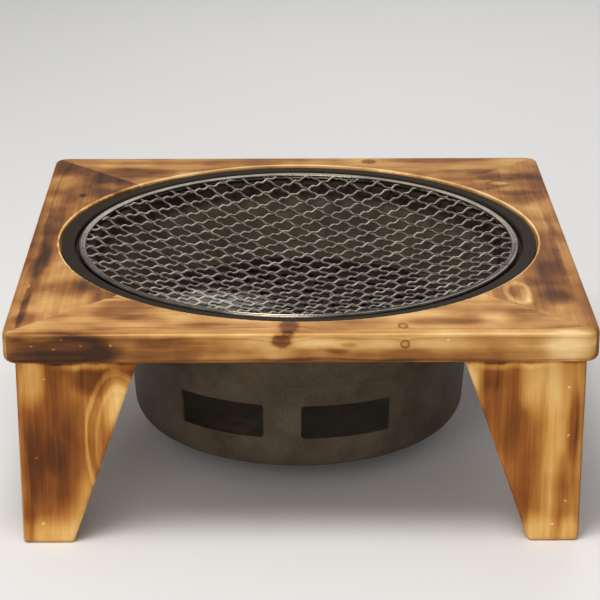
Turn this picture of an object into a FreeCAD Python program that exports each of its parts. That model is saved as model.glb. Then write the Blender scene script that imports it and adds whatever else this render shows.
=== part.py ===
"""Square charred-pine hibachi table with a hanging steel fire bowl and a woven cooking grate.

Frame: millimetres, +Z up, the floor at z = 0, the middle of the table on the Z axis,
the front of the table towards -Y.
"""

import FreeCAD, Part
import math
import os

import Sketcher

OUT = "parts"
Z_AXIS = FreeCAD.Vector(0, 0, 1)

doc = FreeCAD.newDocument("hibachi_grill")

# --------------------------------------------------------------------------- sizes

SIZES = {
    # pine table top, four mitred boards
    "table_size": 400.0,
    "table_height": 159.0,
    "top_thickness": 23.0,
    "corner_round": 10.0,
    "top_edge_round": 3.0,
    "under_edge_round": 5.0,
    # round hole with a rebate that carries the bowl's flange
    "rim_width": 21.4,
    "rebate_width": 8.6,
    "rebate_round": 1.5,
    # corner legs, two tapered boards each
    "leg_inset": 7.5,
    "leg_thickness": 20.0,
    "leg_top_width": 83.0,
    "leg_foot_width": 35.0,
    "leg_corner_round": 4.0,
    "leg_edge_round": 3.5,
    # glue block behind each leg, with its screws
    "block_side": 45.0,
    "block_height": 40.0,
    "screw_diameter": 3.5,
    "screw_head_diameter": 7.0,
    "screw_head_height": 2.4,
    "screw_slot_width": 0.9,
    "top_screw_length": 50.0,
    "top_screw_near": 8.0,
    "top_screw_far": 17.0,
    "leg_screw_length": 24.0,
    "leg_screw_grip": 10.0,
    "leg_screw_along": 28.0,
    "leg_screw_pocket": 9.0,
    "leg_screw_low": 10.0,
    "leg_screw_high": 25.0,
    # dowels across each mitre, set back from the corner along it
    "dowel_diameter": 8.0,
    "dowel_length": 40.0,
    "dowel_near": 43.0,
    "dowel_far": 78.0,
    # pressed steel fire bowl
    "sheet_thickness": 2.0,
    "flange_side_gap": 1.3,
    "flange_recess": 2.0,
    "flange_width": 10.3,
    "ledge_depth": 4.8,
    "ledge_width": 14.0,
    "cone_width": 24.4,
    "neck_height": 89.0,
    "pot_taper": 4.6,
    "pot_floor_height": 21.0,
    "pot_round": 16.6,
    "bend_round": 1.0,
    # air vents of the pot, in two pairs
    "vent_height": 25.9,
    "vent_sill_height": 48.4,
    "vent_angle": 30.5,
    "vent_bridge_angle": 12.3,
    "vent_turn": 5.9,
    "vent_round": 2.5,
    # perforated charcoal plate on the bowl's cone
    "plate_setback": 0.6,
    "plate_thickness": 3.0,
    "plate_hole_diameter": 9.0,
    "plate_hole_pitch": 17.0,
    # woven cooking grate in its folded band
    "band_side_gap": 2.5,
    "band_width": 5.5,
    "band_height": 4.5,
    "band_lip_thickness": 0.6,
    "band_groove_depth": 1.5,
    "band_round": 1.4,
    "wire_diameter": 1.5,
    "wire_pitch": 15.86,
    "wire_gap": 0.1,
    "wire_sag": 17.0,
    "wire_turn": 38.8,
    "wire_shift_along": 13.35,
    "wire_shift_across": 8.5,
    # running clearance between pieces that lift apart
    "seat_gap": 0.3,
}


def make_sheet():
    """Write every driving dimension into a spreadsheet, one aliased cell each."""
    table = doc.addObject("Spreadsheet::Sheet", "Sizes")
    for row, (alias, value) in enumerate(SIZES.items(), 1):
        table.set(f"A{row}", alias)
        table.set(f"B{row}", str(value))
        table.setAlias(f"B{row}", alias)
    doc.recompute()
    return table


sheet = make_sheet()


def value(expression):
    """Work out an expression over the sheet as a plain number."""
    result = sheet.evalExpression(expression)
    return float(getattr(result, "Value", result))


# Places that several pieces share, as expressions over the sheet.
HALF = "Sizes.table_size / 2"
UNDERSIDE = "(Sizes.table_height - Sizes.top_thickness)"
FLANGE_TOP = "(Sizes.table_height - Sizes.flange_recess)"
REBATE_FLOOR = f"({FLANGE_TOP} - Sizes.sheet_thickness - Sizes.seat_gap)"
REBATE_RADIUS = f"({HALF} - Sizes.rim_width)"
FLANGE_RADIUS = f"({REBATE_RADIUS} - Sizes.flange_side_gap)"
STEP_RADIUS = f"({FLANGE_RADIUS} - Sizes.flange_width)"
LEDGE_RADIUS = f"({STEP_RADIUS} - Sizes.ledge_width)"
LEDGE_TOP = f"({FLANGE_TOP} - Sizes.ledge_depth)"
NECK_RADIUS = f"({LEDGE_RADIUS} - Sizes.cone_width)"
NECK_INSIDE = f"({NECK_RADIUS} - Sizes.sheet_thickness)"
POT_FOOT_RADIUS = f"({NECK_RADIUS} - Sizes.pot_taper)"
LEG_CORNER = "(Sizes.table_size / 2 - Sizes.leg_inset)"
LEG_INSIDE = f"({LEG_CORNER} - Sizes.leg_thickness)"
BLOCK_BASE = f"({UNDERSIDE} - Sizes.block_height)"
BAND_RADIUS = f"({STEP_RADIUS} - Sizes.band_side_gap)"
BAND_INSIDE = f"({BAND_RADIUS} - Sizes.band_width)"
BAND_BASE = f"({LEDGE_TOP} + Sizes.seat_gap)"
BAND_TOP = f"({BAND_BASE} + Sizes.band_height)"
CONE_RUN = f"({LEDGE_TOP} - Sizes.neck_height) / ({LEDGE_RADIUS} - {NECK_INSIDE})"
PLATE_RADIUS = f"({NECK_RADIUS} - Sizes.plate_setback)"
PLATE_BASE = (
    f"(Sizes.neck_height + ({PLATE_RADIUS} + Sizes.seat_gap - {NECK_INSIDE}) * {CONE_RUN})"
)

# Corners in turn, counter-clockwise from the front left, with the signs of x and y.
CORNERS = (("front_left", -1, -1), ("front_right", 1, -1), ("back_right", 1, 1), ("back_left", -1, 1))
# Sides in turn, counter-clockwise from the front.
SIDES = ("front", "right", "back", "left")


# --------------------------------------------------------------------------- helpers

def bind(item, **expressions):
    """Bind properties to expressions; a double underscore stands for a dot."""
    for path, expression in expressions.items():
        item.setExpression(path.replace("__", "."), expression)
    return item


def turned(item, degrees):
    """Turn an object about the vertical through its own base point."""
    item.Placement = FreeCAD.Placement(FreeCAD.Vector(), FreeCAD.Rotation(Z_AXIS, degrees))
    return item


def placed(item, x="0", y="0", z="0"):
    """Put an object's base point where three expressions say."""
    return bind(item, Placement__Base__x=x, Placement__Base__y=y, Placement__Base__z=z)


def box(name, length, width, height):
    """Make a box from three expressions."""
    return bind(doc.addObject("Part::Box", name), Length=length, Width=width, Height=height)


def cylinder(name, radius, height):
    """Make a cylinder from two expressions."""
    return bind(doc.addObject("Part::Cylinder", name), Radius=radius, Height=height)


def cut(name, base, tool):
    """Cut one object out of another."""
    result = doc.addObject("Part::Cut", name)
    result.Base = base
    result.Tool = tool
    return result


def common(name, base, tool):
    """Keep what two objects share."""
    result = doc.addObject("Part::Common", name)
    result.Base = base
    result.Tool = tool
    return result


def fuse(name, items):
    """Join several objects into one solid."""
    result = doc.addObject("Part::MultiFuse", name)
    result.Shapes = items
    return result


def group(name, items):
    """Gather separate solids in one object."""
    result = doc.addObject("Part::Compound", name)
    result.Links = items
    return result


def part_fillet(name, base, picks):
    """Round edges of a Part object; picks lists pairs of an edge test and a radius name."""
    doc.recompute()
    result = doc.addObject("Part::Fillet", name)
    result.Base = base
    rounded = []
    for test, radius in picks:
        size = value(f"Sizes.{radius}")
        for index, edge in enumerate(base.Shape.Edges, 1):
            if test(edge):
                rounded.append((index, size, size))
    result.Edges = rounded
    return result


def near(first, second, slack=0.01):
    """Tell whether two lengths are the same within a small slack."""
    return abs(first - second) < slack


def edge_runs_along(edge, axis):
    """Tell whether an edge is straight and runs along an axis."""
    if edge.Curve.TypeId != "Part::GeomLine":
        return False
    return near(abs(edge.Curve.Direction.dot(axis)), 1.0, 1e-6)


def level_edge(edge, height):
    """Tell whether a whole edge lies at one height."""
    return near(edge.BoundBox.ZMin, height) and near(edge.BoundBox.ZMax, height)


def rim_edge(edge, radius, height):
    """Tell whether an edge is a full circle of this radius at this height."""
    return (
        edge.Curve.TypeId == "Part::GeomCircle"
        and near(edge.Curve.Radius, radius)
        and level_edge(edge, height)
    )


def new_body(name):
    """Start a PartDesign body."""
    return doc.addObject("PartDesign::Body", name)


def plane_of(body, role):
    """Find one of a body's own origin planes by its role."""
    return [item for item in body.Origin.OriginFeatures if item.Role == role][0]


def polygon(body, name, role, corners):
    """Sketch a closed polygon on an origin plane, each corner bound to two expressions."""
    sketch = body.newObject("Sketcher::SketchObject", name)
    sketch.AttachmentSupport = (plane_of(body, role), [""])
    sketch.MapMode = "FlatFace"
    points = [FreeCAD.Vector(value(across), value(up), 0) for across, up in corners]
    count = len(points)
    for index in range(count):
        sketch.addGeometry(Part.LineSegment(points[index], points[(index + 1) % count]))
    for index in range(count):
        sketch.addConstraint(Sketcher.Constraint("Coincident", index, 2, (index + 1) % count, 1))
    for index, (across, up) in enumerate(corners):
        for kind, letter, expression, place in (
            ("DistanceX", "x", across, points[index].x),
            ("DistanceY", "y", up, points[index].y),
        ):
            number = sketch.addConstraint(Sketcher.Constraint(kind, -1, 1, index, 1, place))
            label = f"corner{index}_{letter}"
            sketch.renameConstraint(number, label)
            sketch.setExpression(f"Constraints.{label}", expression)
    return sketch


def revolve(body, name, sketch):
    """Revolve a sketch all the way round the vertical axis."""
    feature = body.newObject("PartDesign::Revolution", name)
    feature.Profile = sketch
    feature.ReferenceAxis = (sketch, ["V_Axis"])
    feature.Angle = 360.0
    return feature


def pad(body, name, sketch, length, reverse=False):
    """Pad a sketch to a length given as an expression."""
    feature = body.newObject("PartDesign::Pad", name)
    feature.Profile = sketch
    feature.Reversed = reverse
    return bind(feature, Length=length)


def body_fillet(body, name, radius, test):
    """Round the edges of the body's tip that a test accepts."""
    doc.recompute()
    base = body.Tip
    names = [f"Edge{index}" for index, edge in enumerate(base.Shape.Edges, 1) if test(edge)]
    feature = body.newObject("PartDesign::Fillet", name)
    feature.Base = (base, names)
    return bind(feature, Radius=radius)


# --------------------------------------------------------------------------- table

def screw(name, length):
    """Make a pan-head wood screw: head below z = 0, shank up from z = 0, cross slot in the head."""
    shank = cylinder(f"{name}_shank", "Sizes.screw_diameter / 2", length)
    head = cylinder(f"{name}_head", "Sizes.screw_head_diameter / 2", "Sizes.screw_head_height")
    placed(head, z="-Sizes.screw_head_height")
    whole = fuse(f"{name}_blank", [shank, head])
    for turn in (0, 90):
        slot = box(
            f"{name}_slot{turn}",
            "Sizes.screw_head_diameter / 2",
            "Sizes.screw_slot_width",
            "Sizes.screw_head_height / 2",
        )
        turned(slot, turn)
        along = "-Sizes.screw_head_diameter / 4"
        aside = "-Sizes.screw_slot_width / 2"
        if turn:
            placed(slot, x="Sizes.screw_slot_width / 2", y=along, z="-Sizes.screw_head_height")
        else:
            placed(slot, x=along, y=aside, z="-Sizes.screw_head_height")
        whole = cut(f"{name}_cross{turn}", whole, slot)
    return whole


def top_screws():
    """Make the screws that rise through the corner blocks into the top boards, two a corner."""
    screws = []
    for corner, x_sign, y_sign in CORNERS:
        for x_in, y_in in (("near", "far"), ("far", "near")):
            item = screw(f"top_screw_{corner}_{x_in}", "Sizes.top_screw_length")
            placed(
                item,
                x=f"{x_sign} * ({LEG_INSIDE} - Sizes.top_screw_{x_in})",
                y=f"{y_sign} * ({LEG_INSIDE} - Sizes.top_screw_{y_in})",
                z=BLOCK_BASE,
            )
            screws.append(item)
    return screws


def leg_screws():
    """Make the screws that run level from the corner blocks into the leg boards, two a corner."""
    screws = []
    seat = f"({LEG_INSIDE} - Sizes.leg_screw_grip)"
    aside = f"({LEG_INSIDE} - Sizes.leg_screw_along)"
    for corner, x_sign, y_sign in CORNERS:
        for axis, height in (("x", "low"), ("y", "high")):
            item = screw(f"leg_screw_{corner}_{axis}", "Sizes.leg_screw_length")
            towards = FreeCAD.Vector(x_sign, 0, 0) if axis == "x" else FreeCAD.Vector(0, y_sign, 0)
            item.Placement = FreeCAD.Placement(FreeCAD.Vector(), FreeCAD.Rotation(Z_AXIS, towards))
            x_place, y_place = (seat, aside) if axis == "x" else (aside, seat)
            placed(
                item,
                x=f"{x_sign} * {x_place}",
                y=f"{y_sign} * {y_place}",
                z=f"{BLOCK_BASE} + Sizes.leg_screw_{height}",
            )
            screws.append(item)
    return screws


def screw_pockets():
    """Make the round pockets that let the level screws' heads seat inside the slanted block face."""
    pockets = []
    seat = f"({LEG_INSIDE} - Sizes.leg_screw_grip)"
    aside = f"({LEG_INSIDE} - Sizes.leg_screw_along)"
    for corner, x_sign, y_sign in CORNERS:
        for axis, height in (("x", "low"), ("y", "high")):
            item = cylinder(
                f"pocket_{corner}_{axis}", "Sizes.leg_screw_pocket / 2", "Sizes.block_side"
            )
            inward = FreeCAD.Vector(-x_sign, 0, 0) if axis == "x" else FreeCAD.Vector(0, -y_sign, 0)
            item.Placement = FreeCAD.Placement(FreeCAD.Vector(), FreeCAD.Rotation(Z_AXIS, inward))
            x_place, y_place = (seat, aside) if axis == "x" else (aside, seat)
            placed(
                item,
                x=f"{x_sign} * {x_place}",
                y=f"{y_sign} * {y_place}",
                z=f"{BLOCK_BASE} + Sizes.leg_screw_{height}",
            )
            pockets.append(item)
    return pockets


def mitre_dowels():
    """Make the dowels that cross each mitre, two a corner, at mid-thickness of the top."""
    dowels = []
    middle = f"{UNDERSIDE} + Sizes.top_thickness / 2"
    for corner, x_sign, y_sign in CORNERS:
        across = FreeCAD.Vector(x_sign, -y_sign, 0)
        for reach in ("near", "far"):
            item = cylinder(
                f"dowel_{corner}_{reach}", "Sizes.dowel_diameter / 2", "Sizes.dowel_length"
            )
            item.Placement = FreeCAD.Placement(FreeCAD.Vector(), FreeCAD.Rotation(Z_AXIS, across))
            along = f"({HALF} - Sizes.dowel_{reach} / sqrt(2))"
            back = "Sizes.dowel_length / 2 / sqrt(2)"
            placed(
                item,
                x=f"{x_sign} * ({along} - {back})",
                y=f"{y_sign} * ({along} + {back})",
                z=middle,
            )
            dowels.append(item)
    return dowels


def top_blank():
    """Make the whole sanded table top, with its rebated hole, before it is divided into boards."""
    slab = box("top_slab", "Sizes.table_size", "Sizes.table_size", "Sizes.top_thickness")
    placed(slab, x=f"-{HALF}", y=f"-{HALF}", z=UNDERSIDE)
    doc.recompute()
    cornered = part_fillet(
        "top_cornered", slab, [(lambda edge: edge_runs_along(edge, Z_AXIS), "corner_round")]
    )
    top = value("Sizes.table_height")
    under = value(UNDERSIDE)
    eased = part_fillet(
        "top_eased",
        cornered,
        [
            (lambda edge: level_edge(edge, top), "top_edge_round"),
            (lambda edge: level_edge(edge, under), "under_edge_round"),
        ],
    )
    hole = cylinder("top_hole", f"{REBATE_RADIUS} - Sizes.rebate_width", "Sizes.top_thickness")
    placed(hole, z=UNDERSIDE)
    rebate = cylinder("top_rebate", REBATE_RADIUS, "Sizes.top_thickness")
    placed(rebate, z=REBATE_FLOOR)
    holed = cut("top_holed", eased, fuse("top_opening", [hole, rebate]))
    return part_fillet(
        "top_blank",
        holed,
        [(lambda edge: rim_edge(edge, value(REBATE_RADIUS), top), "rebate_round")],
    )


def top_boards(blank, fasteners):
    """Divide the table top along its diagonals into four mitred boards, with their holes."""
    boards = {}
    for turn, side in enumerate(SIDES):
        sector = box(f"sector_{side}", "Sizes.table_size", "Sizes.table_size", "Sizes.table_height")
        turned(sector, 90 * turn - 135)
        whole = common(f"board_{side}", blank, sector)
        boards[f"top_board_{side}"] = cut(f"top_board_{side}", whole, fasteners)
    return boards


def leg_blank(name):
    """Make one corner leg before it is divided: two tapered boards in an L, corner at the origin."""
    body = new_body(name)
    outline = [
        ("0", "0"),
        ("Sizes.leg_foot_width", "0"),
        ("Sizes.leg_top_width", UNDERSIDE),
        ("0", UNDERSIDE),
    ]
    pad(body, f"{name}_x_pad", polygon(body, f"{name}_x", "XZ_Plane", outline),
        "Sizes.leg_thickness", reverse=True)
    pad(body, f"{name}_y_pad", polygon(body, f"{name}_y", "YZ_Plane", outline),
        "Sizes.leg_thickness")

    def outer_corner(edge):
        box_of = edge.BoundBox
        return edge_runs_along(edge, Z_AXIS) and near(box_of.XMin, 0) and near(box_of.YMin, 0)

    def tapered_outside(edge):
        box_of = edge.BoundBox
        slanted = near(box_of.ZLength, value(UNDERSIDE)) and box_of.DiagonalLength > box_of.ZLength + 1
        return slanted and (near(box_of.XMax, 0) or near(box_of.YMax, 0))

    body_fillet(body, f"{name}_corner", "Sizes.leg_corner_round", outer_corner)
    body_fillet(body, f"{name}_taper", "Sizes.leg_edge_round", tapered_outside)
    body_fillet(body, f"{name}_foot", "Sizes.leg_edge_round", lambda edge: level_edge(edge, 0))
    return body


def leg_boards(fasteners):
    """Make the eight leg boards, two mitred together at each corner."""
    boards = {}
    for turn, (corner, x_sign, y_sign) in enumerate(CORNERS):
        blank = leg_blank(f"leg_{corner}")
        turned(blank, 90 * turn)
        placed(blank, x=f"{x_sign} * {LEG_CORNER}", y=f"{y_sign} * {LEG_CORNER}")
        facing = SIDES[turn], SIDES[turn - 1]
        for half, side in zip((-45, 45), facing):
            wedge = box(
                f"wedge_{corner}_{side}", "Sizes.table_size", "Sizes.table_size", "Sizes.table_height"
            )
            turned(wedge, 90 * turn + half)
            placed(wedge, x=f"{x_sign} * {LEG_CORNER}", y=f"{y_sign} * {LEG_CORNER}")
            whole = common(f"board_{corner}_{side}", blank, wedge)
            name = f"{corner}_leg_{side}_board"
            boards[name] = cut(name, whole, fasteners)
    return boards


def corner_blocks(fasteners):
    """Make the triangular glue block behind each leg, screwed to the top and to both leg boards."""
    blocks = {}
    for turn, (corner, x_sign, y_sign) in enumerate(CORNERS):
        body = new_body(f"block_{corner}")
        triangle = [("0", "0"), ("Sizes.block_side", "0"), ("0", "Sizes.block_side")]
        pad(body, f"block_{corner}_pad", polygon(body, f"block_{corner}_plan", "XY_Plane", triangle),
            "Sizes.block_height")
        turned(body, 90 * turn)
        placed(body, x=f"{x_sign} * {LEG_INSIDE}", y=f"{y_sign} * {LEG_INSIDE}", z=BLOCK_BASE)
        name = f"{corner}_corner_block"
        blocks[name] = cut(name, body, fasteners)
    return blocks


# --------------------------------------------------------------------------- fire bowl

def bowl_collar():
    """Make the bowl's collar: flange, step, ledge for the grate and cone down to the neck."""
    body = new_body("fire_bowl_collar")
    wall = "Sizes.sheet_thickness"
    outline = [
        (FLANGE_RADIUS, FLANGE_TOP),
        (STEP_RADIUS, FLANGE_TOP),
        (STEP_RADIUS, LEDGE_TOP),
        (LEDGE_RADIUS, LEDGE_TOP),
        (NECK_INSIDE, "Sizes.neck_height"),
        (NECK_RADIUS, "Sizes.neck_height"),
        (f"{LEDGE_RADIUS} + {wall}", f"{LEDGE_TOP} - {wall}"),
        (f"{STEP_RADIUS} + {wall}", f"{LEDGE_TOP} - {wall}"),
        (f"{STEP_RADIUS} + {wall}", f"{FLANGE_TOP} - {wall}"),
        (FLANGE_RADIUS, f"{FLANGE_TOP} - {wall}"),
    ]
    revolve(body, "collar_shell", polygon(body, "collar_profile", "XZ_Plane", outline))
    thickness = value(wall)
    flange_top = value(FLANGE_TOP)
    ledge_top = value(LEDGE_TOP)
    step = value(STEP_RADIUS)
    ledge = value(LEDGE_RADIUS)
    inner_bends = ((step, ledge_top), (ledge + thickness, ledge_top - thickness),
                   (step + thickness, flange_top - thickness))
    outer_bends = ((step, flange_top), (ledge, ledge_top), (step + thickness, ledge_top - thickness))
    body_fillet(body, "collar_inner_bends", "Sizes.bend_round",
                lambda edge: any(rim_edge(edge, radius, height) for radius, height in inner_bends))
    body_fillet(body, "collar_outer_bends", f"Sizes.bend_round + {wall} / 2",
                lambda edge: any(rim_edge(edge, radius, height) for radius, height in outer_bends))
    return body


def vent_sectors():
    """Make the four sectors that the air vents are cut with: a pair in front, a pair behind."""
    sectors = []
    starts = (
        "Sizes.vent_bridge_angle / 2",
        "-Sizes.vent_bridge_angle / 2 - Sizes.vent_angle",
    )
    for index, start in enumerate(starts):
        for facing in (-90, 90):
            item = cylinder(f"vent_{index}_{facing + 90}", FLANGE_RADIUS, "Sizes.vent_height")
            bind(item, Angle="Sizes.vent_angle")
            turned(item, 0)
            placed(item, z="Sizes.vent_sill_height")
            bind(item, Placement__Rotation__Angle=f"{facing} - Sizes.vent_turn + {start}")
            sectors.append(item)
    return sectors


def bowl_pot():
    """Make the bowl's pot: near-cylindrical wall with air vents, rounded into a flat floor."""
    body = new_body("pot_shell")
    wall = "Sizes.sheet_thickness"
    floor_top = f"Sizes.pot_floor_height + {wall}"
    outline = [
        (NECK_INSIDE, "Sizes.neck_height"),
        (NECK_RADIUS, "Sizes.neck_height"),
        (POT_FOOT_RADIUS, "Sizes.pot_floor_height"),
        ("0", "Sizes.pot_floor_height"),
        ("0", floor_top),
        (f"{POT_FOOT_RADIUS} - {wall}", floor_top),
    ]
    revolve(body, "pot_wall", polygon(body, "pot_profile", "XZ_Plane", outline))
    foot = value(POT_FOOT_RADIUS)
    thickness = value(wall)
    floor = value("Sizes.pot_floor_height")
    body_fillet(body, "pot_outer_round", "Sizes.pot_round",
                lambda edge: rim_edge(edge, foot, floor))
    body_fillet(body, "pot_inner_round", f"Sizes.pot_round - {wall}",
                lambda edge: rim_edge(edge, foot - thickness, floor + thickness))
    vented = cut("pot_vented", body, fuse("pot_vents", vent_sectors()))
    sill = value("Sizes.vent_sill_height")
    head = value("Sizes.vent_sill_height + Sizes.vent_height")

    def vent_corner(edge):
        short = edge.Length < 2 * thickness and edge.Curve.TypeId == "Part::GeomLine"
        return short and (level_edge(edge, sill) or level_edge(edge, head))

    return part_fillet("fire_bowl_pot", vented, [(vent_corner, "vent_round")])


# --------------------------------------------------------------------------- charcoal plate

def charcoal_plate():
    """Make the perforated plate that holds the charcoal, with rings of holes round a middle one."""
    body = new_body("charcoal_plate")
    disc = body.newObject("PartDesign::AdditiveCylinder", "plate_disc")
    bind(disc, Radius=PLATE_RADIUS, Height="Sizes.plate_thickness")
    placed(body, z=PLATE_BASE)
    pitch = value("Sizes.plate_hole_pitch")
    margin = value("Sizes.plate_hole_diameter")
    rings = int((value(PLATE_RADIUS) - margin) // pitch)
    for ring in range(rings + 1):
        sketch = body.newObject("Sketcher::SketchObject", f"hole_ring_{ring}")
        sketch.AttachmentSupport = (plane_of(body, "XY_Plane"), [""])
        sketch.MapMode = "FlatFace"
        centre = FreeCAD.Vector(ring * pitch, 0, 0)
        sketch.addGeometry(Part.Circle(centre, Z_AXIS, margin / 2))
        sketch.addConstraint(Sketcher.Constraint("Diameter", 0, margin))
        sketch.renameConstraint(0, "width")
        sketch.setExpression("Constraints.width", "Sizes.plate_hole_diameter")
        sketch.addConstraint(Sketcher.Constraint("DistanceX", -1, 1, 0, 3, centre.x))
        sketch.renameConstraint(1, "reach")
        sketch.setExpression("Constraints.reach", f"{ring} * Sizes.plate_hole_pitch")
        sketch.addConstraint(Sketcher.Constraint("DistanceY", -1, 1, 0, 3, 0))
        pocket = body.newObject("PartDesign::Pocket", f"hole_{ring}")
        pocket.Profile = sketch
        pocket.Type = "ThroughAll"
        pocket.Midplane = True
        doc.recompute()
        if ring:
            pattern = body.newObject("PartDesign::PolarPattern", f"holes_{ring}")
            pattern.Originals = [pocket]
            pattern.Axis = (sketch, ["N_Axis"])
            pattern.Angle = 360.0
            pattern.Occurrences = 6 * ring
            body.Tip = pattern
            doc.recompute()
    return body


# --------------------------------------------------------------------------- cooking grate

def grate_band():
    """Make the hammered band round the cooking grate, with a groove that takes the wire ends."""
    body = new_body("grate_band")
    lip = "Sizes.band_lip_thickness"
    groove_end = f"{BAND_INSIDE} + Sizes.band_groove_depth"
    outline = [
        (BAND_INSIDE, BAND_BASE),
        (BAND_RADIUS, BAND_BASE),
        (BAND_RADIUS, BAND_TOP),
        (BAND_INSIDE, BAND_TOP),
        (BAND_INSIDE, f"{BAND_TOP} - {lip}"),
        (groove_end, f"{BAND_TOP} - {lip}"),
        (groove_end, f"{BAND_BASE} + {lip}"),
        (BAND_INSIDE, f"{BAND_BASE} + {lip}"),
    ]
    revolve(body, "band_ring", polygon(body, "band_profile", "XZ_Plane", outline))
    outside = value(BAND_RADIUS)
    bottom = value(BAND_BASE)
    top = value(BAND_TOP)
    body_fillet(body, "band_outer_round", "Sizes.band_round",
                lambda edge: rim_edge(edge, outside, bottom) or rim_edge(edge, outside, top))
    return body


def grate_wires(name, crosswise):
    """Weave one family of the dished grate's wires, over and under the other family in turn."""
    pitch = value("Sizes.wire_pitch")
    radius = value("Sizes.wire_diameter / 2")
    swing = radius + value("Sizes.wire_gap / 2")
    reach = value(f"{BAND_INSIDE} + Sizes.band_groove_depth - Sizes.wire_diameter / 2")
    dish = value(f"{BAND_INSIDE} - Sizes.wire_diameter")
    level = value(f"{BAND_BASE} + Sizes.band_height / 2")
    sag = value("Sizes.wire_sag")
    turn = math.radians(value("Sizes.wire_turn") - (90 if crosswise else 0))
    shifts = value("Sizes.wire_shift_along"), value("Sizes.wire_shift_across")
    shift_own, shift_other = shifts[::-1] if not crosswise else shifts
    along = FreeCAD.Vector(math.cos(turn), math.sin(turn), 0)
    aside = FreeCAD.Vector(-along.y, along.x, 0) * (1 if crosswise else -1)

    def path_point(offset, run, lift):
        spot = along * run + aside * offset
        depth = sag * max(0.0, 1 - (spot.Length / dish) ** 2)
        return FreeCAD.Vector(spot.x, spot.y, level - depth + lift)

    wires = []
    rows = int(reach // pitch) + 1
    for row in range(-rows, rows + 1):
        offset = row * pitch + shift_own
        if abs(offset) > reach - radius:
            continue
        half = math.sqrt(reach ** 2 - offset ** 2)
        if half < pitch:
            continue

        def lift_at(run):
            """Give the height of the weave: a zigzag from crossing to crossing."""
            step = (run - shift_other) / pitch
            low = math.floor(step)
            sign = 1 if (low + row + crosswise) % 2 else -1
            return swing * sign * (1 - 2 * (step - low))

        crossings = range(math.ceil((-half + radius - shift_other) / pitch),
                          math.floor((half - radius - shift_other) / pitch) + 1)
        runs = [-half] + [number * pitch + shift_other for number in crossings] + [half]
        points = [path_point(offset, run, lift_at(run)) for run in runs]
        path = Part.makePolygon(points)
        ring = Part.Wire(Part.makeCircle(radius, points[0], points[1] - points[0]))
        wires.append(path.makePipeShell([ring], True, False, 1))
    feature = doc.addObject("Part::Feature", name)
    feature.Shape = Part.makeCompound(wires)
    return feature


# --------------------------------------------------------------------------- assembly

def build():
    """Build every sub-part and return them by node name."""
    nodes = {}
    up_screws = group("top_screws", top_screws())
    level_screws = group("leg_screws", leg_screws())
    dowels = group("mitre_dowels", mitre_dowels())
    pockets = group("block_pockets", screw_pockets())
    nodes["top_screws"] = up_screws
    nodes["leg_screws"] = level_screws
    nodes["mitre_dowels"] = dowels
    nodes.update(top_boards(top_blank(), fuse("top_fasteners", [up_screws, dowels])))
    nodes.update(leg_boards(level_screws))
    nodes.update(corner_blocks(fuse("block_fasteners", [up_screws, level_screws, pockets])))
    nodes["fire_bowl_collar"] = bowl_collar()
    nodes["fire_bowl_pot"] = bowl_pot()
    nodes["charcoal_plate"] = charcoal_plate()
    nodes["grate_band"] = grate_band()
    nodes["grate_wires_long"] = grate_wires("grate_wires_long", False)
    nodes["grate_wires_cross"] = grate_wires("grate_wires_cross", True)
    for name, item in nodes.items():
        item.Label = name
    return nodes


def check(nodes):
    """Stop if any object failed to recompute or any sub-part's shape is not sound."""
    doc.recompute()
    for item in doc.Objects:
        if "Invalid" in item.State or "Error" in item.State:
            raise RuntimeError(f"{item.Name} failed: {item.State}")
    for name, item in nodes.items():
        shape = item.Shape
        if shape.isNull() or not shape.isValid() or not shape.Solids:
            raise RuntimeError(f"{name} has no sound shape")


def export(nodes):
    """Write each sub-part to its own STEP file."""
    os.makedirs(OUT, exist_ok=True)
    for name, item in nodes.items():
        item.Shape.exportStep(os.path.join(OUT, f"{name}.step"))
        print(f"{name}: {len(item.Shape.Solids)} solids, {item.Shape.Volume / 1000:.2f} cm3")


pieces = build()
check(pieces)
export(pieces)
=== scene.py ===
"""Dress the hibachi grill: a torch-charred pine table, a black fire bowl and a woven cooking grate."""
import logging
import math
from dataclasses import dataclass, replace
from enum import Enum

import bpy
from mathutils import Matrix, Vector


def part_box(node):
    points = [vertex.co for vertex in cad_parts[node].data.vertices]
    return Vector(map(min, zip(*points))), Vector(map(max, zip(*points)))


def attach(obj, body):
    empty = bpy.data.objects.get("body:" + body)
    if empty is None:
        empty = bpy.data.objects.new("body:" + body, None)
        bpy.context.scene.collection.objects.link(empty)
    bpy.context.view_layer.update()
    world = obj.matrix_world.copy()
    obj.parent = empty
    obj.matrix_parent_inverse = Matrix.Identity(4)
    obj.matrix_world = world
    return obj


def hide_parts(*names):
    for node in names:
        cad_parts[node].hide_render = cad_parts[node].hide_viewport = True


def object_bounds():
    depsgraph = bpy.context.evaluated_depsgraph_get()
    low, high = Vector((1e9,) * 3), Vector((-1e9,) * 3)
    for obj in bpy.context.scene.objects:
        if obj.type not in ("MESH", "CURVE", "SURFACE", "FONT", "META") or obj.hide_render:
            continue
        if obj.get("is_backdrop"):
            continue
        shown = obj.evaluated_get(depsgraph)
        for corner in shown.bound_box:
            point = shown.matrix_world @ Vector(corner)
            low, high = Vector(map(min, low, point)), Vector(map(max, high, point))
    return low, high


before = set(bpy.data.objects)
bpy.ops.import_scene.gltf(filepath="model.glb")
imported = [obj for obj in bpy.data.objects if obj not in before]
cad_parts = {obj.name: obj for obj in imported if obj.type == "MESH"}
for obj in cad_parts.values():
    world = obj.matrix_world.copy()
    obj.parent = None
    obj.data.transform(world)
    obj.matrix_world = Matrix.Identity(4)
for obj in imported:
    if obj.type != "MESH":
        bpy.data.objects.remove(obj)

MM = 0.001
Triple = tuple[float, float, float]
Socket = bpy.types.NodeSocket
log = logging.getLogger("hibachi_grill")


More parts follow.
